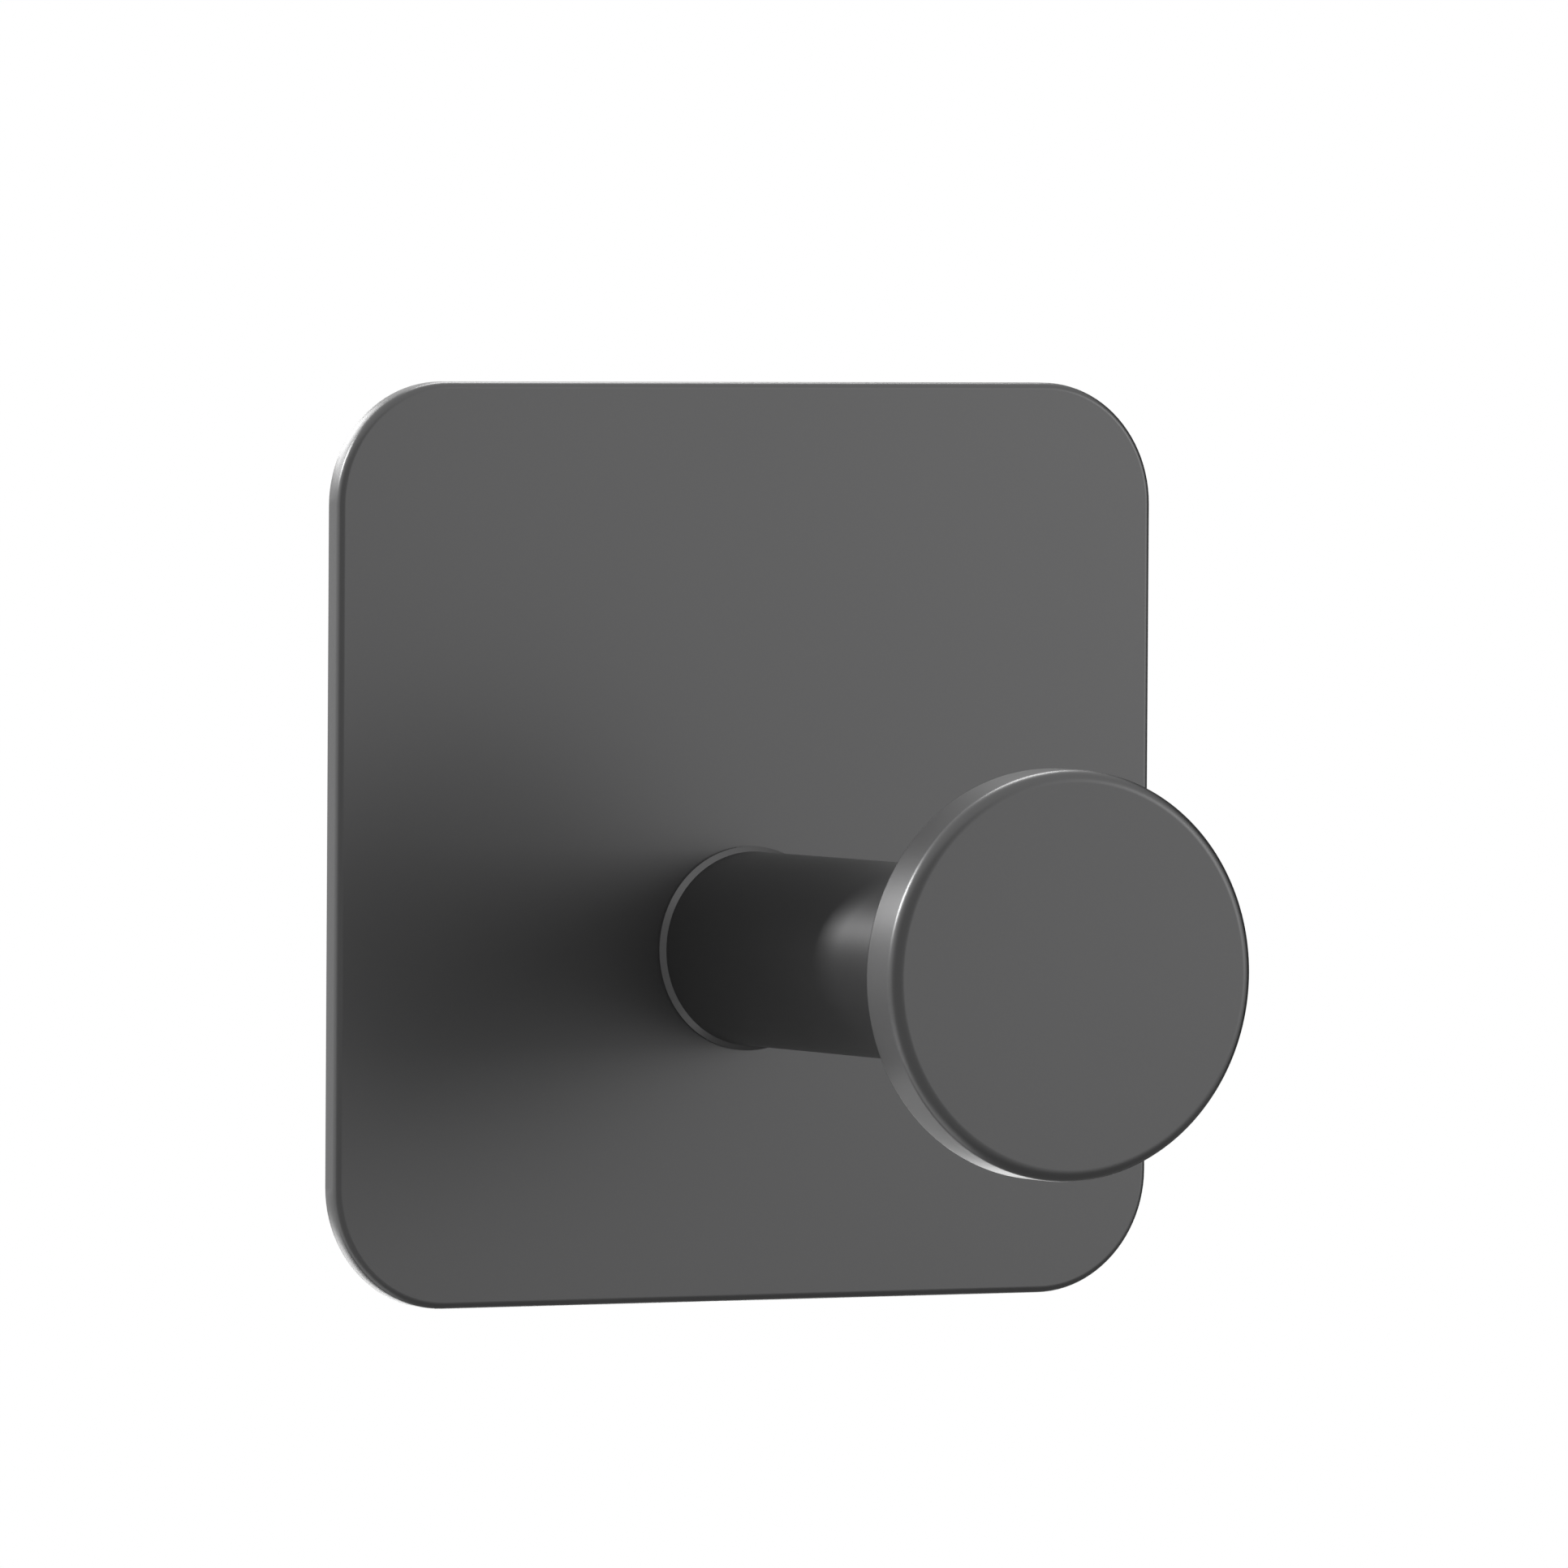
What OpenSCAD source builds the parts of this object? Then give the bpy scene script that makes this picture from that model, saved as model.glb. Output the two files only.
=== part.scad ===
// Adhesive wall hook: a square plate, a round post and a knob disc, held to the wall by a foam pad.
// Millimetres. +Z is up, the hook faces -Y and the wall face lies in the plane Y = 0.

/* [Back plate] */
// Width of the plate
plate_w = 45; // [36:0.5:80]
// Height of the plate
plate_h = 45; // [36:0.5:80]
// Thickness of the plate
plate_t = 1.2; // [0.9:0.1:3]
// Radius of the plate's corners
plate_corner_r = 6; // [3:0.5:10]
// Radius that breaks the plate's front edge
plate_edge_r = 0.35; // [0.1:0.05:0.6]

/* [Post] */
// Diameter of the post
stem_d = 9.5; // [8:0.1:16]
// Free length of the post between the plate and the disc
stem_len = 30; // [15:0.5:60]
// How far the post's axis lies below the plate's middle
stem_drop = 5.2; // [0:0.1:8]
// How far the foot ring stands out past the post
foot_lip = 0.25; // [0.1:0.05:0.8]
// Height of the foot ring's straight wall
foot_t = 0.2; // [0.1:0.05:1]

/* [Knob disc] */
// Diameter of the disc
disc_d = 19.5; // [16:0.5:40]
// Thickness of the disc
disc_t = 2.8; // [2.2:0.1:6]
// Radius of the disc's front edge
disc_front_r = 0.6; // [0.2:0.05:1]
// Radius of the disc's rear edge
disc_rear_r = 0.25; // [0.1:0.05:0.6]

/* [Spigot between post and disc] */
// Diameter of the spigot on the post's front end
spigot_d = 6; // [4:0.1:7]
// Length of the spigot
spigot_len = 1.6; // [1:0.1:2]
// Chamfer that leads the spigot into its socket
spigot_lead = 0.3; // [0.1:0.05:0.6]
// Radial clearance of the spigot in its socket
socket_gap = 0.03; // [0.01:0.01:0.1]
// Room left in front of the spigot's end
socket_floor_gap = 0.1; // [0.05:0.05:0.2]

/* [Fixing screw] */
// Diameter of the screw's shank
screw_d = 3; // [2.5:0.1:4]
// Diameter of the countersunk head
screw_head_d = 5.2; // [4.8:0.1:6]
// How far the screw reaches into the post
screw_reach = 6.5; // [4:0.5:10]
// Chamfer on the screw's end
screw_point = 0.4; // [0.2:0.05:0.8]
// Size of the hexagon socket across its flats
hex_af = 2; // [1.5:0.1:2.5]
// Depth of the hexagon socket
hex_depth = 0.9; // [0.5:0.1:1.2]
// Radial clearance of the head in its countersink
head_gap = 0.03; // [0.01:0.01:0.1]
// Radial clearance of the shank in the plate
shank_gap = 0.1; // [0.05:0.05:0.2]
// Radial clearance of the shank in the post's thread
thread_gap = 0.02; // [0.01:0.01:0.05]
// Chamfer at the mouth of the post's thread
thread_mouth = 0.5; // [0.3:0.05:1]
// Room left past the screw's end
thread_floor_gap = 1; // [0.5:0.1:2]

/* [Adhesive pad] */
// Distance from the plate's edge to the pad's edge
pad_inset = 2; // [1.5:0.1:4]
// Thickness of the foam core
foam_t = 0.8; // [0.4:0.1:2]
// Thickness of the adhesive film on the plate's side
plate_film_t = 0.1; // [0.05:0.05:0.2]
// Thickness of the adhesive film on the wall's side
wall_film_t = 0.1; // [0.05:0.05:0.2]
// Radius of the thumb notch in the pad's lower edge
notch_r = 6; // [3:0.5:9]

/* [Release liner] */
// Distance from the plate's edge to the liner's edge
liner_inset = 1; // [0.7:0.1:1.4]
// Thickness of the liner
liner_t = 0.1; // [0.05:0.05:0.3]

/* [Hidden] */
// The layers, from the wall's face outwards
wall_film_z = liner_t;
foam_z = wall_film_z + wall_film_t;
plate_film_z = foam_z + foam_t;
plate_z = plate_film_z + plate_film_t;
stem_z = plate_z + plate_t;
disc_z = stem_z + stem_len;

// Centres of the plate's corner arcs
corner_x = plate_w / 2 - plate_corner_r;
corner_y = plate_h / 2 - plate_corner_r;

// The pad and the liner follow the plate's outline at their insets
sharpest_corner_r = 0.5;
pad_w = plate_w - 2 * pad_inset;
pad_h = plate_h - 2 * pad_inset;
pad_corner_r = max(plate_corner_r - pad_inset, sharpest_corner_r);
liner_w = plate_w - 2 * liner_inset;
liner_h = plate_h - 2 * liner_inset;
liner_corner_r = max(plate_corner_r - liner_inset, sharpest_corner_r);

// Post and disc
stem_r = stem_d / 2;
foot_r = stem_r + foot_lip;
spigot_r = spigot_d / 2;
disc_r = disc_d / 2;
socket_r = spigot_r + socket_gap;
socket_depth = spigot_len + socket_floor_gap;

// Screw, with a 90 degree head
screw_r = screw_d / 2;
head_r = screw_head_d / 2;
head_depth = head_r - screw_r;
screw_end = plate_t + screw_reach;
thread_r = screw_r + thread_gap;
thread_depth = screw_reach + thread_floor_gap;
shank_hole_r = screw_r + shank_gap;
sink_r = head_r + head_gap;
sink_depth = sink_r - shank_hole_r;
hex_d = hex_af / cos(30);

// How far a cutter runs past the face that it opens
overcut = 1;
$fn = 96;

plate_colour = "#5b5c5e";
screw_colour = "#a9abad";
foam_colour = "#232425";
film_colour = "#c9cbc4";
liner_colour = "#b3262c";

// Stands a shape that lies face up on the wall: its height above the wall runs towards -Y
module on_wall() {
    rotate([90, 0, 0]) children();
}

// Same, on the post's axis
module on_stem_axis() {
    on_wall() translate([0, -stem_drop, 0]) children();
}

// Rectangle with round corners, about its middle
module rounded_rectangle(w, h, r) {
    square([w - 2 * r, h], center = true);
    square([w, h - 2 * r], center = true);
    for (sx = [-1, 1], sy = [-1, 1]) {
        translate([sx * (w / 2 - r), sy * (h / 2 - r)]) circle(r);
    }
}

// Section through the plate's rim, outwards from a corner's centre, with its front edge rounded
module rim_section() {
    square([plate_corner_r - plate_edge_r, plate_t]);
    square([plate_corner_r, plate_t - plate_edge_r]);
    translate([plate_corner_r - plate_edge_r, plate_t - plate_edge_r]) circle(plate_edge_r);
}

// One corner of the plate, and the straight rim that runs clockwise from it
module rim_quarter(side_len) {
    rotate_extrude(angle = 90) rim_section();
    rotate([90, 0, 0]) linear_extrude(side_len) rim_section();
}

module plate_blank() {
    translate([-corner_x, -corner_y, 0]) cube([2 * corner_x, 2 * corner_y, plate_t]);
    for (quarter = [0 : 3]) {
        left = quarter == 1 || quarter == 2;
        below = quarter >= 2;
        side_len = quarter % 2 == 0 ? 2 * corner_y : 2 * corner_x;
        translate([left ? -corner_x : corner_x, below ? -corner_y : corner_y, 0])
            rotate([0, 0, 90 * quarter])
                rim_quarter(side_len);
    }
}

// Clearance hole for the shank and countersink for the head, from the plate's rear face
module screw_hole() {
    translate([0, 0, -overcut]) cylinder(r = shank_hole_r, h = plate_t + 2 * overcut);
    cylinder(r1 = sink_r, r2 = shank_hole_r, h = sink_depth);
}

module back_plate() {
    color(plate_colour) difference() {
        on_wall() translate([0, 0, plate_z]) plate_blank();
        on_stem_axis() translate([0, 0, plate_z]) screw_hole();
    }
}

// Half section of the post, from its foot on the plate to the end of its spigot
module stem_section() {
    spigot_end = stem_len + spigot_len;
    difference() {
        polygon([
            [0, 0],
            [foot_r, 0],
            [foot_r, foot_t],
            [stem_r, foot_t + foot_lip],
            [stem_r, stem_len],
            [spigot_r, stem_len],
            [spigot_r, spigot_end - spigot_lead],
            [spigot_r - spigot_lead, spigot_end],
            [0, spigot_end]
        ]);
        polygon([
            [0, 0],
            [thread_r + thread_mouth, 0],
            [thread_r, thread_mouth],
            [thread_r, thread_depth],
            [0, thread_depth]
        ]);
    }
}

module stem() {
    color(plate_colour) on_stem_axis() translate([0, 0, stem_z]) rotate_extrude() stem_section();
}

// Half section of the disc, from its rear face to its front face
module disc_section() {
    difference() {
        union() {
            square([disc_r - disc_front_r, disc_t]);
            square([disc_r - disc_rear_r, disc_t - disc_front_r]);
            translate([0, disc_rear_r]) square([disc_r, disc_t - disc_front_r - disc_rear_r]);
            translate([disc_r - disc_front_r, disc_t - disc_front_r]) circle(disc_front_r);
            translate([disc_r - disc_rear_r, disc_rear_r]) circle(disc_rear_r);
        }
        square([socket_r, socket_depth]);
    }
}

module knob_disc() {
    color(plate_colour) on_stem_axis() translate([0, 0, disc_z]) rotate_extrude() disc_section();
}

module fixing_screw() {
    color(screw_colour) on_stem_axis() translate([0, 0, plate_z]) difference() {
        rotate_extrude() polygon([
            [0, 0],
            [head_r, 0],
            [screw_r, head_depth],
            [screw_r, screw_end - screw_point],
            [screw_r - screw_point, screw_end],
            [0, screw_end]
        ]);
        translate([0, 0, -overcut]) cylinder(d = hex_d, h = hex_depth + overcut, $fn = 6);
    }
}

// One layer of the pad: the plate's outline at the pad's inset, with a thumb notch below
module pad_layer(z, t) {
    on_wall() translate([0, 0, z]) linear_extrude(t) difference() {
        rounded_rectangle(pad_w, pad_h, pad_corner_r);
        translate([0, -pad_h / 2]) circle(notch_r);
    }
}

module plate_side_adhesive() {
    color(film_colour) pad_layer(plate_film_z, plate_film_t);
}

module foam_core() {
    color(foam_colour) pad_layer(foam_z, foam_t);
}

module wall_side_adhesive() {
    color(film_colour) pad_layer(wall_film_z, wall_film_t);
}

module release_liner() {
    color(liner_colour) on_wall() linear_extrude(liner_t)
        rounded_rectangle(liner_w, liner_h, liner_corner_r);
}

back_plate();
stem();
knob_disc();
fixing_screw();
plate_side_adhesive();
foam_core();
wall_side_adhesive();
release_liner();
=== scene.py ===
"""Dresses the adhesive wall hook: plate, post, knob disc, screw, foam pad and release liner.

Everything is in metres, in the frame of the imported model: +Z is up, the hook faces -Y and the wall face
lies in the plane Y = 0.
"""

import logging
import math
from abc import ABC, abstractmethod
from collections.abc import Callable, Iterator, Mapping, Sequence
from contextlib import contextmanager
from dataclasses import dataclass, field
from enum import Enum
from typing import Any

import bmesh
import bpy
from mathutils import Matrix, Vector


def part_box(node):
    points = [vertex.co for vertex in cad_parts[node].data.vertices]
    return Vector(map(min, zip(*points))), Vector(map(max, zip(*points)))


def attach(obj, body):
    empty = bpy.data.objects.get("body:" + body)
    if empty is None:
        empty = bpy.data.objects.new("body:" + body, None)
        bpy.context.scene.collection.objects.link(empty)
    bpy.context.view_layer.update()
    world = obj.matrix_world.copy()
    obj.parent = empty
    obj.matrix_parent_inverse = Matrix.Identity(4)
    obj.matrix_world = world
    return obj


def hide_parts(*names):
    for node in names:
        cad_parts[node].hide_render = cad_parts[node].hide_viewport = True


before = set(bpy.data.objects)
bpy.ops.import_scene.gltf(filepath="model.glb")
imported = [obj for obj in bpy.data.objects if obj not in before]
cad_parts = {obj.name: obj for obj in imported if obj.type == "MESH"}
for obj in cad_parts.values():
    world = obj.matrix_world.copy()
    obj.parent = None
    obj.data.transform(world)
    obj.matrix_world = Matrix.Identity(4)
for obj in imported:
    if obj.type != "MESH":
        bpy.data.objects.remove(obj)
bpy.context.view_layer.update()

Colour = tuple[float, float, float]
Point = tuple[float, float, float]
Span = tuple[float, float]
EdgeTest = Callable[[bmesh.types.BMEdge], bool]
FaceTest = Callable[[bmesh.types.BMFace], bool]

MM = 0.001
# Points closer than this are one point
TINY = 1e-6
# Least cosine between a flat face's normal and the way that it looks
FLAT = 0.9999
# Least angle between the two faces at a rim that gets a bevel
SHARP = math.radians(60.0)
# Greatest angle between two faces that are shaded as one
SMOOTH = math.radians(40.0)
# How far a cutter runs past the face that it opens
OVERRUN = 0.5 * MM
# Mean of a noise texture
NOISE_MEAN = 0.5
WHITE: Colour = (1.0, 1.0, 1.0)
BLACK: Colour = (0.0, 0.0, 0.0)
log = logging.getLogger("wall_hook")


class Body(Enum):
    """The two bodies that pieces ride on."""

    HOOK = "hook"
    LINER = "liner"


class Slot(Enum):
    """Material slots of the record."""

    GUNMETAL = "satin_gunmetal"
    STEEL = "screw_steel"
    ADHESIVE = "clear_adhesive"
    FOAM = "pad_foam"
    LINER = "liner_film"


class Facing(Enum):
    """Which way a face of a piece looks."""

    ROOM = (0.0, -1.0, 0.0)
    WALL = (0.0, 1.0, 0.0)


class Joining(Enum):
    """How another shape is put together with a piece."""

    CUT = "DIFFERENCE"
    FUSE = "UNION"
    TRIM = "INTERSECT"


class PadLayer(Enum):
    """The pad's layers, by the names of their solids."""

    PLATE_FILM = "plate_side_adhesive"
    FOAM = "foam_core"
    WALL_FILM = "wall_side_adhesive"


# Shader graphs


@dataclass(frozen=True)
class Signal:
    """A number that varies over a surface, as a socket that takes part in Python arithmetic."""

    graph: "NodeGraph"
    socket: bpy.types.NodeSocket

    def __add__(self, other: "Signal | float") -> "Signal":
        """Sum."""
        return self.graph.maths("ADD", self, other)

    __radd__ = __add__

    def __mul__(self, other: "Signal | float") -> "Signal":
        """Product."""
        return self.graph.maths("MULTIPLY", self, other)

    __rmul__ = __mul__

    def __sub__(self, other: "Signal | float") -> "Signal":
        """Difference."""
        return self.graph.maths("SUBTRACT", self, other)

    def __rsub__(self, other: float) -> "Signal":
        """Difference with the number in front."""
        return self.graph.maths("SUBTRACT", other, self)

    def ramp(self, band: Span) -> "Signal":
        """Smooth step.

        Args:
            band: The values that give 0 and 1.

        Returns:
            A mask from 0 to 1.
        """
        low, high = band
        settings = {"interpolation_type": "SMOOTHSTEP", "clamp": True}
        inputs = {"Value": self, "From Min": low, "From Max": high}
        node = self.graph.node("ShaderNodeMapRange", settings, inputs)
        return Signal(self.graph, node.outputs[0])


class NodeGraph:
    """A node tree that is written as Python expressions."""

    def __init__(self, tree: bpy.types.NodeTree) -> None:
        """Takes a tree and empties it.

        Args:
            tree: The tree of a material or of the world.
        """
        self.tree = tree
        self.tree.nodes.clear()

    def node(self, kind: str, settings: Mapping[str, Any], inputs: Mapping[Any, Any]) -> bpy.types.Node:
        """Adds a node.

        Args:
            kind: Type of the node.
            settings: Properties that are set first.
            inputs: Values or links by the socket's name or number.

        Returns:
            The new node.
        """
        node = self.tree.nodes.new(kind)
        for key, setting in settings.items():
            setattr(node, key, setting)
        for key, given in inputs.items():
            self.feed(node.inputs[key], given)
        return node

    def feed(self, socket: bpy.types.NodeSocket, given: Any) -> None:
        """Links a socket or sets its value.

        Args:
            socket: The input.
            given: A signal or socket to link, or a plain value.
        """
        if isinstance(given, Signal):
            self.tree.links.new(given.socket, socket)
        elif isinstance(given, bpy.types.NodeSocket):
            self.tree.links.new(given, socket)
        else:
            socket.default_value = given

    def maths(self, operation: str, *operands: Signal | float) -> Signal:
        """Adds one Math node.

        Args:
            operation: Name of the node's operation.
            operands: Its inputs, in order.

        Returns:
            The node's result.
        """
        node = self.node("ShaderNodeMath", {"operation": operation}, dict(enumerate(operands)))
        return Signal(self, node.outputs[0])

    def background_rays(self) -> Signal:
        """Tells the rays that show the background: the camera's, and those in metal and glass.

        Returns:
            1 for such a ray and 0 for the others.
        """
        path = self.node("ShaderNodeLightPath", {}, {})
        camera = Signal(self, path.outputs["Is Camera Ray"])
        glossy = Signal(self, path.outputs["Is Glossy Ray"])
        through = Signal(self, path.outputs["Is Transmission Ray"])
        return self.maths("MAXIMUM", camera, self.maths("MAXIMUM", glossy, through))


class ShaderGraph(NodeGraph):
    """The node graph of one material, round one Principled shader."""

    def __init__(self, name: str) -> None:
        """Starts a material.

        Args:
            name: Name of the material.
        """
        self.material = bpy.data.materials.new(name)
        self.material.use_nodes = True
        super().__init__(self.material.node_tree)
        self.shader = self.node("ShaderNodeBsdfPrincipled", {}, {})
        self.node("ShaderNodeOutputMaterial", {}, {"Surface": self.shader.outputs[0]})
        coordinates = self.node("ShaderNodeTexCoord", {}, {})
        self.place = coordinates.outputs["Object"]

    def principled(self, **inputs: Any) -> None:
        """Sets or links sockets of the shader.

        Args:
            inputs: Values or links by the socket's name, in lower case with underscores.
        """
        sockets = {socket.name.lower().replace(" ", "_"): socket for socket in self.shader.inputs}
        for key, given in inputs.items():
            self.feed(sockets[key], given)

    def noise(self, size: float, layers: float = 2.0) -> Signal:
        """Cloudy noise about zero.

        Args:
            size: Size of its patches, in metres.
            layers: Number of finer layers.

        Returns:
            Values from about -0.5 to 0.5.
        """
        inputs = {"Vector": self.place, "Scale": 1.0 / size, "Detail": layers}
        node = self.node("ShaderNodeTexNoise", {}, inputs)
        return Signal(self, node.outputs[0]) - NOISE_MEAN

    def cells(self, size: float) -> Signal:
        """Distance from the middles of cells.

        Args:
            size: Size of a cell, in metres.

        Returns:
            Distance in cells.
        """
        inputs = {"Vector": self.place, "Scale": 1.0 / size}
        node = self.node("ShaderNodeTexVoronoi", {}, inputs)
        return Signal(self, node.outputs["Distance"])

    def tint(self, colour: Colour, brightness: Signal) -> bpy.types.NodeSocket:
        """A colour times a brightness that varies.

        Args:
            colour: The colour at brightness 1.
            brightness: Its factor over the surface.

        Returns:
            A colour socket.
        """
        scaled = self.node("ShaderNodeVectorMath", {"operation": "SCALE"}, {0: colour, "Scale": brightness})
        return scaled.outputs[0]

    def bump(self, height: Signal, depth: float) -> None:
        """Raises the surface.

        Args:
            height: The height over the surface, in shares of the depth.
            depth: Real height of one share, in metres.
        """
        inputs = {"Height": height, "Strength": 1.0, "Distance": depth}
        node = self.node("ShaderNodeBump", {}, inputs)
        self.feed(self.shader.inputs["Normal"], node.outputs[0])


def opaque(colour: Colour) -> tuple[float, float, float, float]:
    """The value of a colour socket."""
    return (*colour, 1.0)


# Finishes


class Finish(ABC):
    """A surface finish that makes one material."""

    @abstractmethod
    def material(self) -> bpy.types.Material:
        """Builds the material."""


@dataclass(frozen=True)
class SatinGunmetal(Finish):
    """Dark grey metal with a fine, even satin."""

    colour: Colour = (0.116, 0.116, 0.117)
    colour_spread: float = 0.05
    metallic: float = 0.80
    roughness: float = 0.36
    roughness_spread: float = 0.03
    cloud_size: float = 14 * MM
    cloud_layers: float = 3.0
    grain_size: float = 0.12 * MM
    grain_depth: float = 0.0006 * MM

    def material(self) -> bpy.types.Material:
        """Builds the metal, with faint clouds and a fine grain.

        Returns:
            The material.
        """
        graph = ShaderGraph(Slot.GUNMETAL.value)
        clouds = graph.noise(self.cloud_size, self.cloud_layers)
        grain = graph.noise(self.grain_size)
        mottle = clouds + grain
        graph.principled(
            metallic=self.metallic,
            base_color=graph.tint(self.colour, 1.0 + mottle * self.colour_spread),
            roughness=self.roughness + mottle * self.roughness_spread,
        )
        graph.bump(grain, self.grain_depth)
        return graph.material


@dataclass(frozen=True)
class ScrewSteel(Finish):
    """Plain steel of a turned screw."""

    colour: Colour = (0.50, 0.50, 0.51)
    roughness: float = 0.3
    spread: float = 0.15
    streak_size: float = 0.3 * MM
    streak_layers: float = 3.0

    def material(self) -> bpy.types.Material:
        """Builds the steel, with uneven gloss.

        Returns:
            The material.
        """
        graph = ShaderGraph(Slot.STEEL.value)
        streaks = graph.noise(self.streak_size, self.streak_layers)
        graph.principled(
            metallic=1.0,
            base_color=graph.tint(self.colour, 1.0 + streaks * self.spread),
            roughness=self.roughness + streaks * self.spread,
        )
        return graph.material


@dataclass(frozen=True)
class ClearAdhesive(Finish):
    """Tacky clear film with a faint orange-peel surface."""

    colour: Colour = (0.30, 0.31, 0.29)
    colour_spread: float = 0.2
    roughness: float = 0.16
    roughness_spread: float = 0.12
    opacity: float = 0.22
    opacity_spread: float = 0.08
    peel_size: float = 1.1 * MM
    peel_depth: float = 0.012 * MM

    def material(self) -> bpy.types.Material:
        """Builds the film, which the foam behind it shows through.

        Returns:
            The material.
        """
        graph = ShaderGraph(Slot.ADHESIVE.value)
        peel = graph.noise(self.peel_size)
        graph.principled(
            base_color=graph.tint(self.colour, 1.0 + peel * self.colour_spread),
            roughness=self.roughness + peel * self.roughness_spread,
            alpha=self.opacity + peel * self.opacity_spread,
        )
        graph.bump(peel, self.peel_depth)
        return graph.material


@dataclass(frozen=True)
class PadFoam(Finish):
    """Black closed-cell foam, with painted shade darkening its cell pits."""

    colour: Colour = (0.018, 0.018, 0.019)
    # Painted shade: the pits' colour is cut to this share, and the raised walls get this much painted light
    # on top
    painted_pit_shade: float = 0.6
    painted_wall_light: float = 0.9
    roughness: float = 0.85
    wall_gloss: float = 0.1
    cell_size: float = 0.22 * MM
    cell_depth: float = 0.05 * MM
    wall_band: Span = (0.1, 0.7)

    def material(self) -> bpy.types.Material:
        """Builds the foam, with painted shade: the sunken cell pits are coloured darker and the raised
        walls lighter.

        Returns:
            The material.
        """
        graph = ShaderGraph(Slot.FOAM.value)
        walls = graph.cells(self.cell_size).ramp(self.wall_band)
        graph.principled(
            # Painted shade in the sunken pits and painted light on the raised walls, in the base colour
            base_color=graph.tint(self.colour, self.painted_pit_shade + walls * self.painted_wall_light),
            roughness=self.roughness - walls * self.wall_gloss,
        )
        graph.bump(walls, self.cell_depth)
        return graph.material


@dataclass(frozen=True)
class LinerFilm(Finish):
    """Red plastic film with a gloss, faint waves and a fine embossed grain."""

    colour: Colour = (0.36, 0.010, 0.014)
    roughness: float = 0.2
    specular: float = 0.3
    wave_size: float = 11 * MM
    wave_layers: float = 1.0
    wave_depth: float = 0.22 * MM
    wave_shade: float = 0.14
    wave_haze: float = 0.06
    emboss_size: float = 0.5 * MM
    emboss_band: Span = (0.15, 0.65)
    emboss_share: float = 0.02
    emboss_shade: float = 0.08
    emboss_haze: float = 0.05

    def material(self) -> bpy.types.Material:
        """Builds the film.

        Returns:
            The material.
        """
        graph = ShaderGraph(Slot.LINER.value)
        waves = graph.noise(self.wave_size, self.wave_layers)
        emboss = graph.cells(self.emboss_size).ramp(self.emboss_band)
        shade = 1.0 + waves * self.wave_shade - emboss * self.emboss_shade
        graph.principled(
            base_color=graph.tint(self.colour, shade),
            roughness=self.roughness + waves * self.wave_haze + emboss * self.emboss_haze,
            specular_ior_level=self.specular,
        )
        graph.bump(waves + emboss * self.emboss_share, self.wave_depth)
        return graph.material


# Modelling


def deselect_all() -> None:
    """Leaves nothing selected, so that the next operator acts on its own piece alone."""
    bpy.ops.object.select_all(action="DESELECT")


@dataclass(frozen=True)
class ThreadForm:
    """A V thread, with its depth and its crest as shares of the pitch."""

    crest_radius: float
    pitch: float = 0.5 * MM
    depth_share: float = 0.6134
    crest_share: float = 0.125
    flank_angle: float = math.radians(30.0)
    steps: int = 48
    spare_turns: int = 2

    @property
    def root_radius(self) -> float:
        """Radius at the bottom of the groove."""
        return self.crest_radius - self.depth_share * self.pitch

    def outline(self) -> list[Vector]:
        """One pitch of the thread's section.

        Returns:
            Points from root to root: the radius is their X, and they run towards -Y.
        """
        flank = (self.crest_radius - self.root_radius) * math.tan(self.flank_angle)
        crest_flat = self.crest_share * self.pitch
        root_flat = self.pitch - crest_flat - 2 * flank
        return [
            Vector((self.root_radius, 0.0, 0.0)),
            Vector((self.root_radius, -root_flat, 0.0)),
            Vector((self.crest_radius, -root_flat - flank, 0.0)),
            Vector((self.crest_radius, -root_flat - flank - crest_flat, 0.0)),
            Vector((self.root_radius, -self.pitch, 0.0)),
        ]


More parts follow.
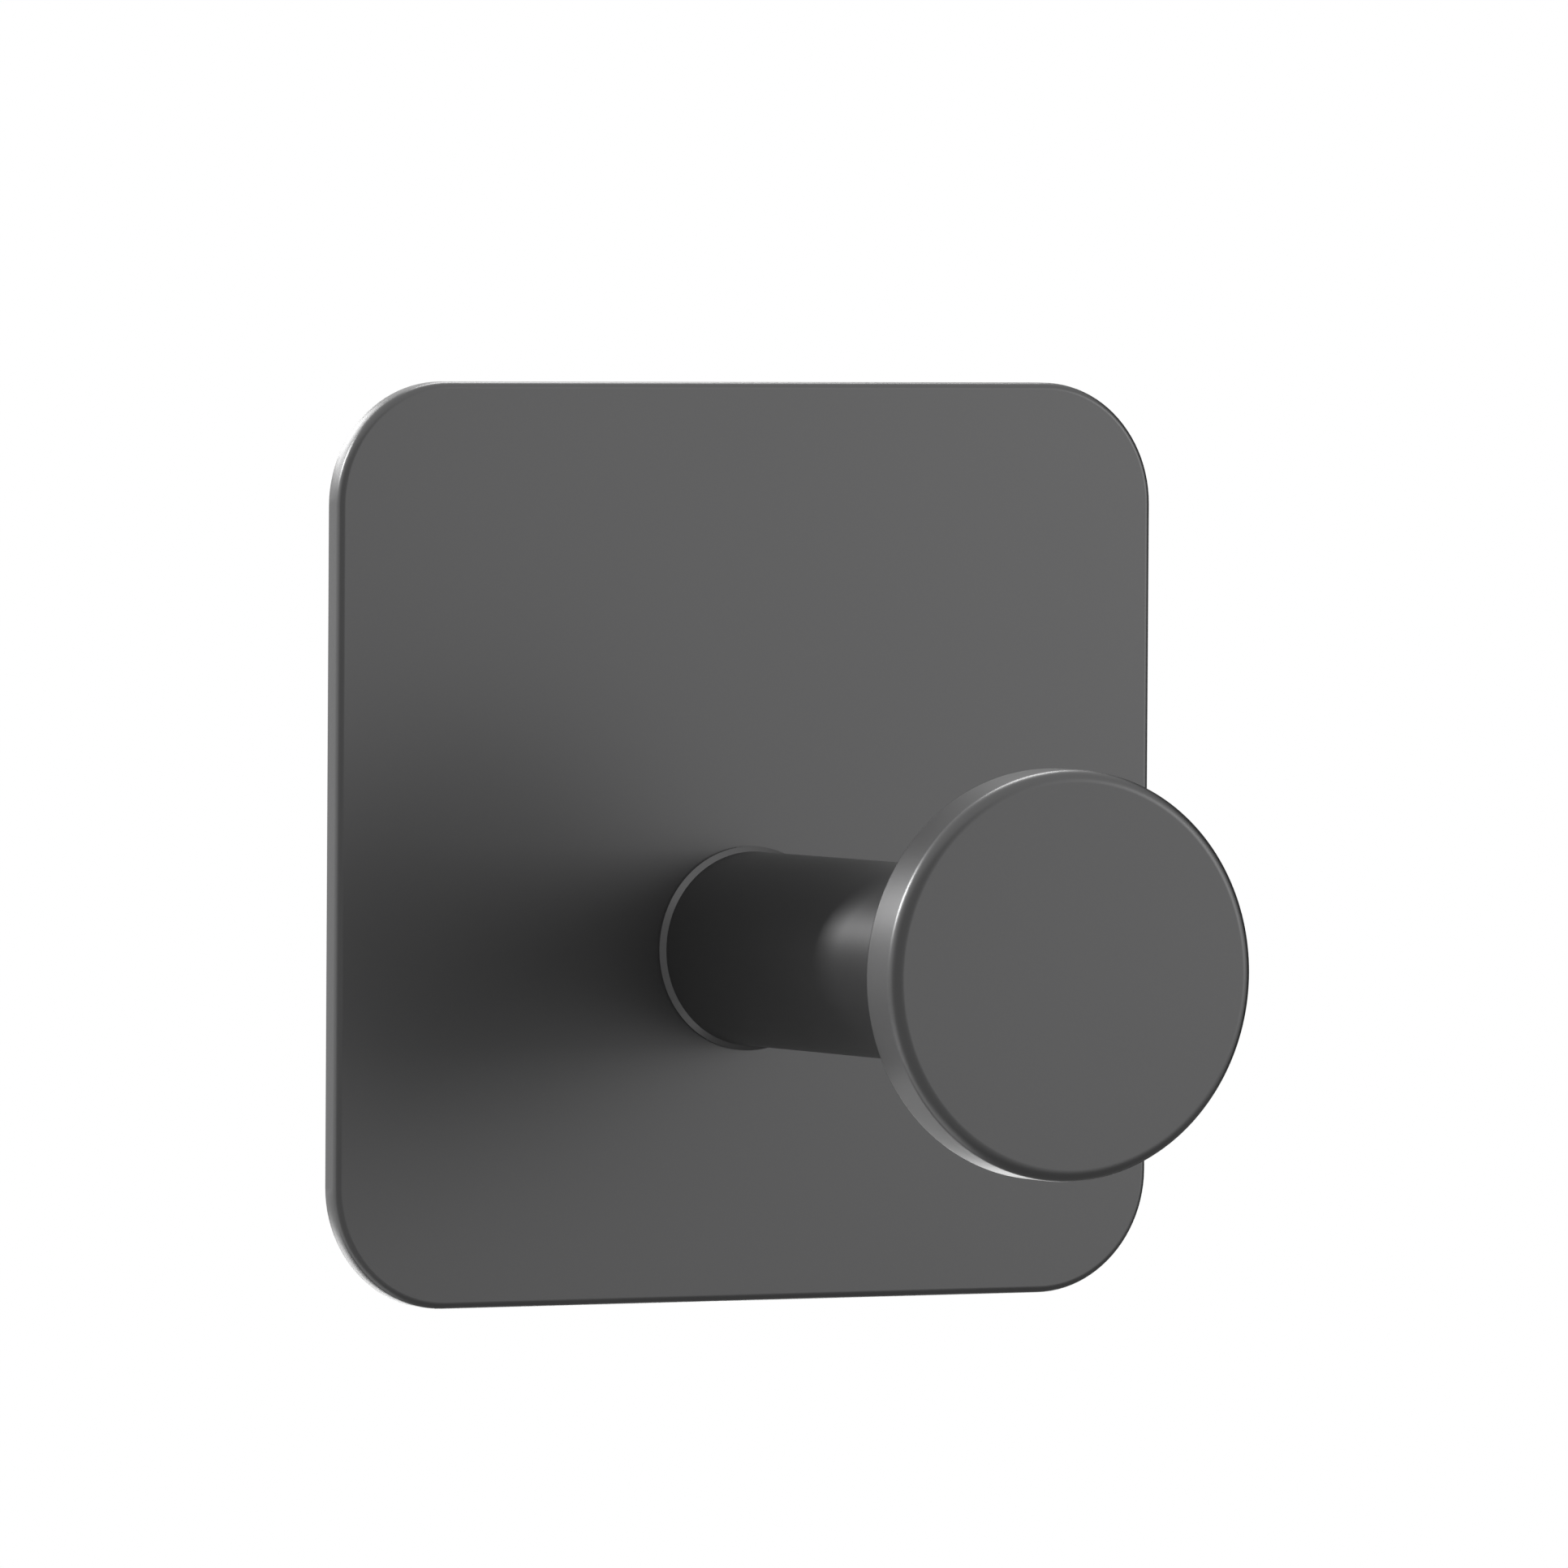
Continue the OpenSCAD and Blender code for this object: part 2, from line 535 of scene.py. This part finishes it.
class Workpiece:
    """One mesh on the bench, added as a primitive and shaped by operators."""

    def __init__(self, name: str) -> None:
        """Takes the primitive that was just added, and puts its place into its mesh.

        Args:
            name: Name that the piece gets.
        """
        self.obj = bpy.context.active_object
        self.obj.name = name
        self.obj.data.name = name
        bpy.ops.object.transform_apply(location=True, rotation=True, scale=True)

    @classmethod
    def block(cls, name: str, low: Vector, high: Vector) -> "Workpiece":
        """Adds a block.

        Args:
            name: Name of the piece.
            low: Its lowest corner.
            high: Its highest corner.

        Returns:
            The new piece.
        """
        deselect_all()
        bpy.ops.mesh.primitive_cube_add(size=1.0, location=(low + high) / 2, scale=high - low)
        return cls(name)

    @classmethod
    def rod(cls, name: str, radius: float, ends: Span, height: float, sides: int) -> "Workpiece":
        """Adds a round bar that runs along Y.

        Args:
            name: Name of the piece.
            radius: Its radius.
            ends: Where it ends along Y.
            height: Z of its axis.
            sides: Number of sides.

        Returns:
            The new piece.
        """
        deselect_all()
        bpy.ops.mesh.primitive_cylinder_add(
            vertices=sides,
            radius=radius,
            depth=abs(ends[1] - ends[0]),
            location=(0.0, sum(ends) / 2, height),
            rotation=(math.pi / 2, 0.0, 0.0),
        )
        return cls(name)

    @classmethod
    def threaded_rod(cls, name: str, form: ThreadForm, ends: Span, height: float) -> "Workpiece":
        """Adds a threaded bar that runs along Y, wound from the section of its thread.

        Args:
            name: Name of the piece.
            form: The thread.
            ends: Y of the end near the wall, where its helix is counted from, and of the end in the room.
            height: Z of its axis.

        Returns:
            The new piece, closed at both ends.
        """
        near, far = ends
        points = form.outline()
        deselect_all()
        start = points[0] + Vector((0.0, near + form.pitch, 0.0))
        bpy.ops.mesh.primitive_plane_add(size=form.pitch, location=start)
        rod = cls(name)
        rod.draw_out(points)
        rod.wind(form, near - far)
        with rod.editing():
            bpy.ops.mesh.select_all(action="SELECT")
            bpy.ops.mesh.remove_doubles(threshold=TINY)
            bpy.ops.transform.translate(value=(0.0, 0.0, height))
            rod.cut_off(near, Facing.WALL)
            rod.cut_off(far, Facing.ROOM)
            bpy.ops.mesh.select_all(action="SELECT")
            bpy.ops.mesh.normals_make_consistent(inside=False)
        return rod

    def draw_out(self, points: Sequence[Vector]) -> None:
        """Shrinks the piece to its middle and draws that point out along an outline.

        Args:
            points: The outline, of which only the steps from point to point count.
        """
        with self.editing():
            bpy.context.tool_settings.mesh_select_mode = (True, False, False)
            bpy.ops.mesh.select_all(action="SELECT")
            bpy.ops.mesh.merge(type="CENTER")
            for here, there in zip(points, points[1:]):
                bpy.ops.mesh.extrude_region_move(TRANSFORM_OT_translate={"value": there - here})

    def wind(self, form: ThreadForm, length: float) -> None:
        """Winds the piece's outline round the Y axis into a helix towards -Y.

        Args:
            form: The thread.
            length: Least length of the helix.
        """
        modifier = self.obj.modifiers.new("helix", "SCREW")
        modifier.axis = "Y"
        modifier.screw_offset = -form.pitch
        modifier.iterations = math.ceil(length / form.pitch) + form.spare_turns
        modifier.steps = form.steps
        modifier.render_steps = form.steps
        self.apply(modifier)

    @contextmanager
    def editing(self) -> Iterator[None]:
        """Edit mode with nothing selected.

        Yields:
            Nothing.
        """
        self.activate()
        bpy.ops.object.mode_set(mode="EDIT")
        bpy.ops.mesh.select_all(action="DESELECT")
        yield
        bpy.ops.object.mode_set(mode="OBJECT")

    def activate(self) -> None:
        """Makes this the one piece that operators act on."""
        deselect_all()
        bpy.context.view_layer.objects.active = self.obj
        self.obj.select_set(True)

    def select_edges(self, test: EdgeTest) -> None:
        """Selects the edges that pass a test.

        Args:
            test: True for an edge to select.
        """
        bpy.context.tool_settings.mesh_select_mode = (False, True, False)
        bpy.ops.mesh.select_all(action="DESELECT")
        mesh = bmesh.from_edit_mesh(self.obj.data)
        for edge in mesh.edges:
            if test(edge):
                edge.select_set(True)
        bmesh.update_edit_mesh(self.obj.data)

    def select_faces(self, test: FaceTest) -> None:
        """Selects the faces that pass a test.

        Args:
            test: True for a face to select.
        """
        bpy.context.tool_settings.mesh_select_mode = (False, False, True)
        bpy.ops.mesh.select_all(action="DESELECT")
        mesh = bmesh.from_edit_mesh(self.obj.data)
        mesh.normal_update()
        for face in mesh.faces:
            if test(face):
                face.select_set(True)
        bmesh.update_edit_mesh(self.obj.data)

    def select_corners(self) -> None:
        """Selects the edges that run along Y."""
        self.select_edges(lambda edge: abs(edge.verts[0].co.y - edge.verts[1].co.y) > TINY)

    def select_cap(self, facing: Facing, plane: float) -> None:
        """Selects the flat faces in one plane that look one way.

        Args:
            facing: Which way they look.
            plane: Their Y.
        """
        outward = Vector(facing.value)
        self.select_faces(
            lambda face: face.normal.dot(outward) > FLAT and abs(face.calc_center_median().y - plane) < TINY
        )

    def select_rim(self, plane: float) -> None:
        """Selects the sharp edges that lie in one plane across Y.

        Args:
            plane: Their Y.
        """
        self.select_edges(
            lambda edge: all(abs(vert.co.y - plane) < TINY for vert in edge.verts)
            and edge.calc_face_angle(0.0) > SHARP
        )

    def bevel(self, width: float, segments: int) -> None:
        """Rounds the selected edges, or chamfers them with one segment."""
        bpy.ops.mesh.bevel(offset=width, segments=segments, affect="EDGES")

    def inset(self, width: float) -> None:
        """Insets the selected faces."""
        bpy.ops.mesh.inset(thickness=width)

    def extrude(self, along_y: float) -> None:
        """Extrudes the selected faces along Y."""
        bpy.ops.mesh.extrude_region_move(TRANSFORM_OT_translate={"value": (0.0, along_y, 0.0)})

    def widen(self, factor: float, height: float) -> None:
        """Scales what is selected about an axis along Y at that height."""
        bpy.ops.transform.resize(value=(factor, 1.0, factor), center_override=(0.0, 0.0, height))

    def score(self, plane: float) -> None:
        """Cuts a loop round the piece at a plane across Y, and leaves it selected."""
        bpy.ops.mesh.select_all(action="SELECT")
        bpy.ops.mesh.bisect(plane_co=(0.0, plane, 0.0), plane_no=Facing.WALL.value, threshold=TINY)

    def cut_off(self, plane: float, facing: Facing) -> None:
        """Cuts off what lies past a plane across Y, and closes the end.

        Args:
            plane: Y of the new end.
            facing: Which way the new end looks.
        """
        bpy.ops.mesh.select_all(action="SELECT")
        bpy.ops.mesh.bisect(
            plane_co=(0.0, plane, 0.0),
            plane_no=facing.value,
            use_fill=True,
            clear_outer=True,
            threshold=TINY,
        )

    def apply(self, modifier: bpy.types.Modifier) -> None:
        """Puts a modifier's work into the mesh."""
        self.activate()
        bpy.ops.object.modifier_apply(modifier=modifier.name)

    def combine(self, other: "Workpiece", joining: Joining) -> None:
        """Puts another shape together with this piece, and clears the slivers that this leaves.

        Args:
            other: The shape, which is deleted afterwards.
            joining: How the two are put together.
        """
        modifier = self.obj.modifiers.new("joining", "BOOLEAN")
        modifier.operation = joining.value
        modifier.solver = "EXACT"
        modifier.object = other.obj
        self.apply(modifier)
        bpy.data.objects.remove(other.obj)
        with self.editing():
            bpy.ops.mesh.select_all(action="SELECT")
            bpy.ops.mesh.remove_doubles(threshold=TINY)
            bpy.ops.mesh.dissolve_degenerate(threshold=TINY)
            bpy.ops.mesh.select_all(action="SELECT")
            bpy.ops.mesh.delete_loose()

    def smooth(self) -> None:
        """Shades the piece smoothly between its sharp edges, weighted by the faces' areas."""
        self.activate()
        bpy.ops.object.shade_smooth_by_angle(angle=SMOOTH)
        modifier = self.obj.modifiers.new("even_shading", "WEIGHTED_NORMAL")
        modifier.keep_sharp = True
        self.apply(modifier)


# The hook's pieces


class SubAssembly(ABC):
    """Pieces that are built and dressed together."""

    @abstractmethod
    def build(self) -> None:
        """Models the meshes."""

    @abstractmethod
    def dress(self) -> None:
        """Gives the meshes their finish and their body."""

    @staticmethod
    def hand_over(
        piece: Workpiece,
        node: str,
        body: Body,
        slot: Slot,
        material: bpy.types.Material,
    ) -> None:
        """Puts a finished piece in the place of its solid.

        Args:
            piece: The finished piece.
            node: The solid that it stands for.
            body: The body that it rides on.
            slot: The record's slot of its finish; not used.
            material: Its material.
        """
        piece.obj.data.materials.clear()
        piece.obj.data.materials.append(material)
        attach(piece.obj, body.value)
        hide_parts(node)
        log.info("%s stands for %s, %d faces", piece.obj.name, node, len(piece.obj.data.polygons))


@dataclass
class BackPlate(SubAssembly):
    """Stamped square plate with round corners and a broken edge."""

    material: bpy.types.Material
    axis_height: float
    corner_radius: float = 6.0 * MM
    corner_steps: int = 24
    front_edge: float = 0.35 * MM
    front_steps: int = 6
    rear_edge: float = 0.08 * MM
    rear_steps: int = 2
    screw_hole_radius: float = 1.6 * MM
    sink_radius: float = 2.63 * MM
    hole_sides: int = 64
    piece: Workpiece = field(init=False)

    def build(self) -> None:
        """Models the plate and its countersunk hole."""
        low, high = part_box("back_plate")
        self.piece = Workpiece.block("square_plate", low, high)
        with self.piece.editing():
            self.piece.select_corners()
            self.piece.bevel(self.corner_radius, self.corner_steps)
            self.piece.select_rim(low.y)
            self.piece.bevel(self.front_edge, self.front_steps)
            self.piece.select_rim(high.y)
            self.piece.bevel(self.rear_edge, self.rear_steps)
        self.piece.combine(self.countersink(low.y, high.y), Joining.CUT)
        self.piece.smooth()

    def countersink(self, front: float, rear: float) -> Workpiece:
        """The shape of the hole.

        Args:
            front: Y of the plate's front face.
            rear: Y of its rear face.

        Returns:
            A cutter that runs past both faces.
        """
        depth = self.sink_radius - self.screw_hole_radius
        mouth = (rear, rear + OVERRUN)
        cutter = Workpiece.rod("hole", self.sink_radius, mouth, self.axis_height, self.hole_sides)
        with cutter.editing():
            cutter.select_cap(Facing.ROOM, rear)
            cutter.extrude(-depth)
            cutter.widen(self.screw_hole_radius / self.sink_radius, self.axis_height)
            cutter.extrude(front - OVERRUN - (rear - depth))
        return cutter

    def dress(self) -> None:
        """Gives the plate its satin metal."""
        self.hand_over(self.piece, "back_plate", Body.HOOK, Slot.GUNMETAL, self.material)


@dataclass
class HangingPost(SubAssembly):
    """Turned post with a thin foot ring, a spigot in front and a threaded hole behind."""

    material: bpy.types.Material
    axis_height: float
    radius: float = 4.75 * MM
    sides: int = 160
    foot_wall: float = 0.2 * MM
    spigot_radius: float = 3.0 * MM
    spigot_length: float = 1.6 * MM
    spigot_lead: float = 0.3 * MM
    thread: ThreadForm = ThreadForm(crest_radius=1.52 * MM)
    thread_mouth: float = 0.5 * MM
    thread_depth: float = 7.5 * MM
    thread_runout: float = 0.6 * MM
    piece: Workpiece = field(init=False)

    def build(self) -> None:
        """Models the post from its foot to its spigot, then its hole."""
        low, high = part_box("stem")
        foot = high.y
        ring = foot - self.foot_wall
        shoulder = low.y + self.spigot_length
        foot_radius = (high.x - low.x) / 2
        lip = foot_radius - self.radius
        self.piece = Workpiece.rod("round_post", foot_radius, (ring, foot), self.axis_height, self.sides)
        with self.piece.editing():
            self.piece.select_cap(Facing.ROOM, ring)
            self.piece.extrude(-lip)
            self.piece.widen(self.radius / foot_radius, self.axis_height)
            self.piece.extrude(shoulder - (ring - lip))
            self.piece.inset(self.radius - self.spigot_radius)
            self.piece.extrude(self.spigot_lead - self.spigot_length)
            self.piece.extrude(-self.spigot_lead)
            self.piece.widen(1.0 - self.spigot_lead / self.spigot_radius, self.axis_height)
        self.bore(foot, foot_radius)
        self.piece.smooth()

    def bore(self, foot: float, foot_radius: float) -> None:
        """Opens the hole in the post's foot and taps it.

        Args:
            foot: Y of the foot's flat face.
            foot_radius: Radius of that face.
        """
        core = self.thread.root_radius
        with self.piece.editing():
            self.piece.select_cap(Facing.WALL, foot)
            self.piece.inset(foot_radius - core - self.thread_mouth)
            self.piece.extrude(-self.thread_mouth)
            self.piece.widen(core / (core + self.thread_mouth), self.axis_height)
            self.piece.extrude(self.thread_mouth - self.thread_depth)
        reach = (foot + self.thread.pitch, foot - self.thread_depth + self.thread_runout)
        tap = Workpiece.threaded_rod("tap", self.thread, reach, self.axis_height)
        self.piece.combine(tap, Joining.CUT)

    def dress(self) -> None:
        """Gives the post its satin metal."""
        self.hand_over(self.piece, "stem", Body.HOOK, Slot.GUNMETAL, self.material)


@dataclass
class KnobDisc(SubAssembly):
    """Flat disc with a rounded rim and a blind socket behind."""

    material: bpy.types.Material
    axis_height: float
    sides: int = 192
    front_edge: float = 0.6 * MM
    front_steps: int = 12
    rear_edge: float = 0.25 * MM
    rear_steps: int = 6
    socket_radius: float = 3.03 * MM
    socket_depth: float = 1.7 * MM
    piece: Workpiece = field(init=False)

    def build(self) -> None:
        """Models the disc."""
        low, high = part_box("knob_disc")
        radius = (high.x - low.x) / 2
        self.piece = Workpiece.rod("knob_face", radius, (low.y, high.y), self.axis_height, self.sides)
        with self.piece.editing():
            self.piece.select_rim(low.y)
            self.piece.bevel(self.front_edge, self.front_steps)
            self.piece.select_rim(high.y)
            self.piece.bevel(self.rear_edge, self.rear_steps)
            self.piece.select_cap(Facing.WALL, high.y)
            self.piece.inset(radius - self.rear_edge - self.socket_radius)
            self.piece.extrude(-self.socket_depth)
        self.piece.smooth()

    def dress(self) -> None:
        """Gives the disc its satin metal."""
        self.hand_over(self.piece, "knob_disc", Body.HOOK, Slot.GUNMETAL, self.material)


@dataclass
class FixingScrew(SubAssembly):
    """Countersunk screw with a hexagon socket, which holds the post from behind."""

    material: bpy.types.Material
    axis_height: float
    sides: int = 64
    thread: ThreadForm = ThreadForm(crest_radius=1.5 * MM)
    thread_start: float = -1.8 * MM
    point: float = 0.4 * MM
    hexagon: float = 2.0 * MM
    hexagon_sides: int = 6
    hexagon_depth: float = 0.9 * MM
    piece: Workpiece = field(init=False)

    def build(self) -> None:
        """Models the head and the threaded shank, then the socket."""
        low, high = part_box("fixing_screw")
        head_radius = (high.x - low.x) / 2
        neck = high.y - (head_radius - self.thread.crest_radius)
        ends = (neck, high.y)
        self.piece = Workpiece.rod("machine_screw", head_radius, ends, self.axis_height, self.sides)
        with self.piece.editing():
            self.piece.select_cap(Facing.ROOM, neck)
            self.piece.widen(self.thread.root_radius / head_radius, self.axis_height)
        self.piece.combine(self.shank(low.y), Joining.FUSE)
        self.piece.combine(self.socket(high.y), Joining.CUT)
        self.piece.smooth()

    def shank(self, tip: float) -> Workpiece:
        """The threaded shank.

        Args:
            tip: Y of its end.

        Returns:
            A threaded bar with a chamfered end.
        """
        shank = Workpiece.threaded_rod("shank", self.thread, (self.thread_start, tip), self.axis_height)
        sleeve_radius = self.thread.crest_radius + self.point
        sleeve_ends = (tip, self.thread_start + OVERRUN)
        sleeve = Workpiece.rod("sleeve", sleeve_radius, sleeve_ends, self.axis_height, self.sides)
        with sleeve.editing():
            sleeve.select_rim(tip)
            sleeve.bevel(2 * self.point, segments=1)
        shank.combine(sleeve, Joining.TRIM)
        return shank

    def socket(self, rear: float) -> Workpiece:
        """The hexagon socket.

        Args:
            rear: Y of the head's flat face.

        Returns:
            A cutter that runs past the face.
        """
        corner_radius = self.hexagon / 2 / math.cos(math.pi / self.hexagon_sides)
        ends = (rear - self.hexagon_depth, rear + OVERRUN)
        return Workpiece.rod("key", corner_radius, ends, self.axis_height, self.hexagon_sides)

    def dress(self) -> None:
        """Gives the screw its steel."""
        self.hand_over(self.piece, "fixing_screw", Body.HOOK, Slot.STEEL, self.material)


@dataclass
class AdhesivePad(SubAssembly):
    """Foam pad with an adhesive film on each side and a thumb notch below."""

    film: bpy.types.Material
    foam: bpy.types.Material
    corner_radius: float = 4.0 * MM
    corner_steps: int = 16
    notch_radius: float = 6.0 * MM
    notch_sides: int = 96
    foam_waist: float = 0.12 * MM
    waist_loops: tuple[float, ...] = (0.15, 0.32, 0.5, 0.68, 0.85)
    film_gap: float = 0.006 * MM
    pieces: dict[PadLayer, Workpiece] = field(default_factory=dict)

    def build(self) -> None:
        """Models the three layers, with the films a hair thinner so that no two faces coincide."""
        for layer in PadLayer:
            low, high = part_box(layer.value)
            if layer is PadLayer.FOAM:
                piece = self.die_cut(layer, low, high)
                self.draw_in(piece, low, high)
            else:
                gap = Vector((0.0, self.film_gap, 0.0))
                piece = self.die_cut(layer, low + gap, high - gap)
            piece.smooth()
            self.pieces[layer] = piece

    def die_cut(self, layer: PadLayer, low: Vector, high: Vector) -> Workpiece:
        """Cuts one layer to the pad's outline.

        Args:
            layer: The layer.
            low: Its lowest corner.
            high: Its highest corner.

        Returns:
            The new piece, with its thumb notch.
        """
        piece = Workpiece.block(f"pad_{layer.name.lower()}", low, high)
        with piece.editing():
            piece.select_corners()
            piece.bevel(self.corner_radius, self.corner_steps)
        ends = (low.y - OVERRUN, high.y + OVERRUN)
        notch = Workpiece.rod("notch", self.notch_radius, ends, low.z, self.notch_sides)
        piece.combine(notch, Joining.CUT)
        return piece

    def draw_in(self, piece: Workpiece, low: Vector, high: Vector) -> None:
        """Hollows the foam's edge between its two films, as a die leaves it.

        Args:
            piece: The foam.
            low: Its lowest corner.
            high: Its highest corner.
        """
        half_width = (high.x - low.x) / 2
        with piece.editing():
            for share in self.waist_loops:
                piece.score(low.y + share * (high.y - low.y))
                hollow = self.foam_waist * math.sin(math.pi * share)
                piece.widen(1.0 - hollow / half_width, (low.z + high.z) / 2)

    def dress(self) -> None:
        """Gives foam and films their finish."""
        for layer, piece in self.pieces.items():
            if layer is PadLayer.FOAM:
                self.hand_over(piece, layer.value, Body.HOOK, Slot.FOAM, self.foam)
            else:
                self.hand_over(piece, layer.value, Body.HOOK, Slot.ADHESIVE, self.film)


@dataclass
class ReleaseLiner(SubAssembly):
    """Thin film over the wall-side adhesive."""

    material: bpy.types.Material
    corner_radius: float = 5.0 * MM
    corner_steps: int = 16
    piece: Workpiece = field(init=False)

    def build(self) -> None:
        """Models the film."""
        low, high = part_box("release_liner")
        self.piece = Workpiece.block("liner_sheet", low, high)
        with self.piece.editing():
            self.piece.select_corners()
            self.piece.bevel(self.corner_radius, self.corner_steps)
        self.piece.smooth()

    def dress(self) -> None:
        """Gives the liner its film."""
        self.hand_over(self.piece, "release_liner", Body.LINER, Slot.LINER, self.material)


# Studio


@dataclass(frozen=True)
class Softbox:
    """A rectangular lamp that looks at the hook."""

    name: str
    place: Point
    width: float
    height: float
    radiance: float

    def add(self, target: Vector) -> None:
        """Adds the lamp.

        Args:
            target: Point that it looks at.
        """
        lamp = bpy.data.lights.new(self.name, "AREA")
        lamp.shape = "RECTANGLE"
        lamp.size = self.width
        lamp.size_y = self.height
        lamp.energy = self.radiance * math.pi * self.width * self.height
        obj = bpy.data.objects.new(self.name, lamp)
        bpy.context.scene.collection.objects.link(obj)
        obj.location = self.place
        obj.rotation_mode = "QUATERNION"
        obj.rotation_quaternion = (target - Vector(self.place)).to_track_quat("-Z", "Y")
        obj.visible_camera = False


@dataclass(frozen=True)
class Flag:
    """A grey card that shades one side of the metal's reflections, and that no camera sees."""

    name: str
    place: Point
    width: float
    height: float
    shade: float

    def add(self, target: Vector) -> None:
        """Adds the card.

        Args:
            target: Point that it faces.
        """
        deselect_all()
        bpy.ops.mesh.primitive_plane_add(size=1.0, location=self.place)
        card = bpy.context.active_object
        card.name = self.name
        card.scale = (self.width, self.height, 1.0)
        card.rotation_mode = "QUATERNION"
        card.rotation_quaternion = (target - Vector(self.place)).to_track_quat("Z", "Y")
        graph = ShaderGraph(self.name)
        graph.principled(
            base_color=opaque(BLACK),
            specular_ior_level=0.0,
            emission_color=opaque(WHITE),
            emission_strength=self.shade,
        )
        card.data.materials.append(graph.material)
        card.visible_camera = False
        card.visible_shadow = False


@dataclass(frozen=True)
class PhotoCamera:
    """Camera at the photograph's place: a long lens, to the left of the hook and a little above it."""

    place: Point = (-379.61 * MM, -714.85 * MM, 29.38 * MM)
    yaw: float = math.radians(-28.168)
    tilt: float = math.radians(90.0 - 1.882)
    roll: float = math.radians(0.364)
    lens: float = 378.93
    sensor: float = 36.0
    clip: Span = (0.01, 20.0)

    def add(self) -> None:
        """Adds the camera and makes it the scene's."""
        data = bpy.data.cameras.new("photo_camera")
        data.sensor_fit = "HORIZONTAL"
        data.sensor_width = self.sensor
        data.lens = self.lens
        data.clip_start, data.clip_end = self.clip
        camera = bpy.data.objects.new("photo_camera", data)
        bpy.context.scene.collection.objects.link(camera)
        turn = Matrix.Rotation(self.yaw, 4, "Z")
        tilt = Matrix.Rotation(self.tilt, 4, "X")
        lean = Matrix.Rotation(self.roll, 4, "Z")
        camera.matrix_world = Matrix.Translation(self.place) @ turn @ tilt @ lean
        bpy.context.scene.camera = camera


@dataclass
class Studio:
    """Pale floor, white surroundings and soft lamps."""

    lamps: tuple[Softbox, ...]
    flags: tuple[Flag, ...]
    target: Point = (0.0, -15 * MM, 0.0)
    floor_height: float = -0.22
    floor_side: float = 3.0
    floor_colour: Colour = (0.85, 0.85, 0.85)
    floor_roughness: float = 0.9
    floor_lift: float = 0.3
    ambient: float = 0.7

    def add(self) -> None:
        """Adds floor, world, lamps and flags."""
        self.add_floor()
        self.add_world()
        for helper in (*self.lamps, *self.flags):
            helper.add(Vector(self.target))
        bpy.context.scene.view_settings.view_transform = "Standard"

    def add_floor(self) -> None:
        """Adds the floor, below the view of the photograph, which the camera sees a little lighter."""
        deselect_all()
        bpy.ops.mesh.primitive_plane_add(size=self.floor_side, location=(0.0, 0.0, self.floor_height))
        floor = bpy.context.active_object
        floor.name = "studio_floor"
        graph = ShaderGraph("studio_floor")
        graph.principled(
            base_color=opaque(self.floor_colour),
            roughness=self.floor_roughness,
            emission_color=graph.tint(WHITE, graph.background_rays() * self.floor_lift),
            emission_strength=1.0,
        )
        floor.data.materials.append(graph.material)

    def add_world(self) -> None:
        """Adds soft light all round, which the camera and reflections see as plain white."""
        world = bpy.data.worlds.new("studio")
        world.use_nodes = True
        bpy.context.scene.world = world
        graph = NodeGraph(world.node_tree)
        soft = graph.node("ShaderNodeBackground", {}, {"Strength": self.ambient})
        white = graph.node("ShaderNodeBackground", {}, {"Color": opaque(WHITE)})
        inputs = {0: graph.background_rays(), 1: soft.outputs[0], 2: white.outputs[0]}
        mixed = graph.node("ShaderNodeMixShader", {}, inputs)
        graph.node("ShaderNodeOutputWorld", {}, {"Surface": mixed.outputs[0]})


STUDIO_LAMPS = (
    Softbox("key_softbox", place=(0.44, -0.44, 0.10), width=0.20, height=0.24, radiance=2.4),
    Softbox("top_softbox", place=(0.06, 0.10, 0.16), width=0.08, height=0.06, radiance=8.0),
    Softbox("rim_softbox_left", place=(-0.40, 0.355, 0.265), width=0.035, height=0.16, radiance=130.0),
    Softbox("rim_softbox_back", place=(-0.20, 0.40, 0.13), width=0.08, height=0.08, radiance=4.0),
    Softbox("rim_softbox_top", place=(-0.05, 0.45, 0.17), width=0.20, height=0.14, radiance=6.0),
    Softbox("rim_softbox_low", place=(0.06, 0.36, -0.17), width=0.30, height=0.14, radiance=3.0),
)
STUDIO_FLAGS = (
    Flag("left_flag", place=(-0.08, -0.14, -0.04), width=0.36, height=0.36, shade=0.45),
    Flag("right_flag", place=(0.30, 0.12, 0.0), width=0.50, height=0.50, shade=0.0),
    Flag("low_flag", place=(0.06, -0.03, -0.11), width=0.24, height=0.20, shade=0.25),
    Flag("rear_flag", place=(-0.02, 0.12, -0.13), width=0.20, height=0.10, shade=0.3),
)


def main() -> None:
    """Builds the hook piece by piece, then the studio round it."""
    logging.basicConfig(level=logging.INFO, format="%(name)s: %(message)s")
    low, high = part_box("knob_disc")
    axis_height = (low.z + high.z) / 2
    gunmetal = SatinGunmetal().material()
    hook: list[SubAssembly] = [
        BackPlate(gunmetal, axis_height),
        HangingPost(gunmetal, axis_height),
        KnobDisc(gunmetal, axis_height),
        FixingScrew(ScrewSteel().material(), axis_height),
        AdhesivePad(ClearAdhesive().material(), PadFoam().material()),
        ReleaseLiner(LinerFilm().material()),
    ]
    for assembly in hook:
        assembly.build()
        assembly.dress()
    PhotoCamera().add()
    Studio(STUDIO_LAMPS, STUDIO_FLAGS).add()


if __name__ == "__main__":
    main()
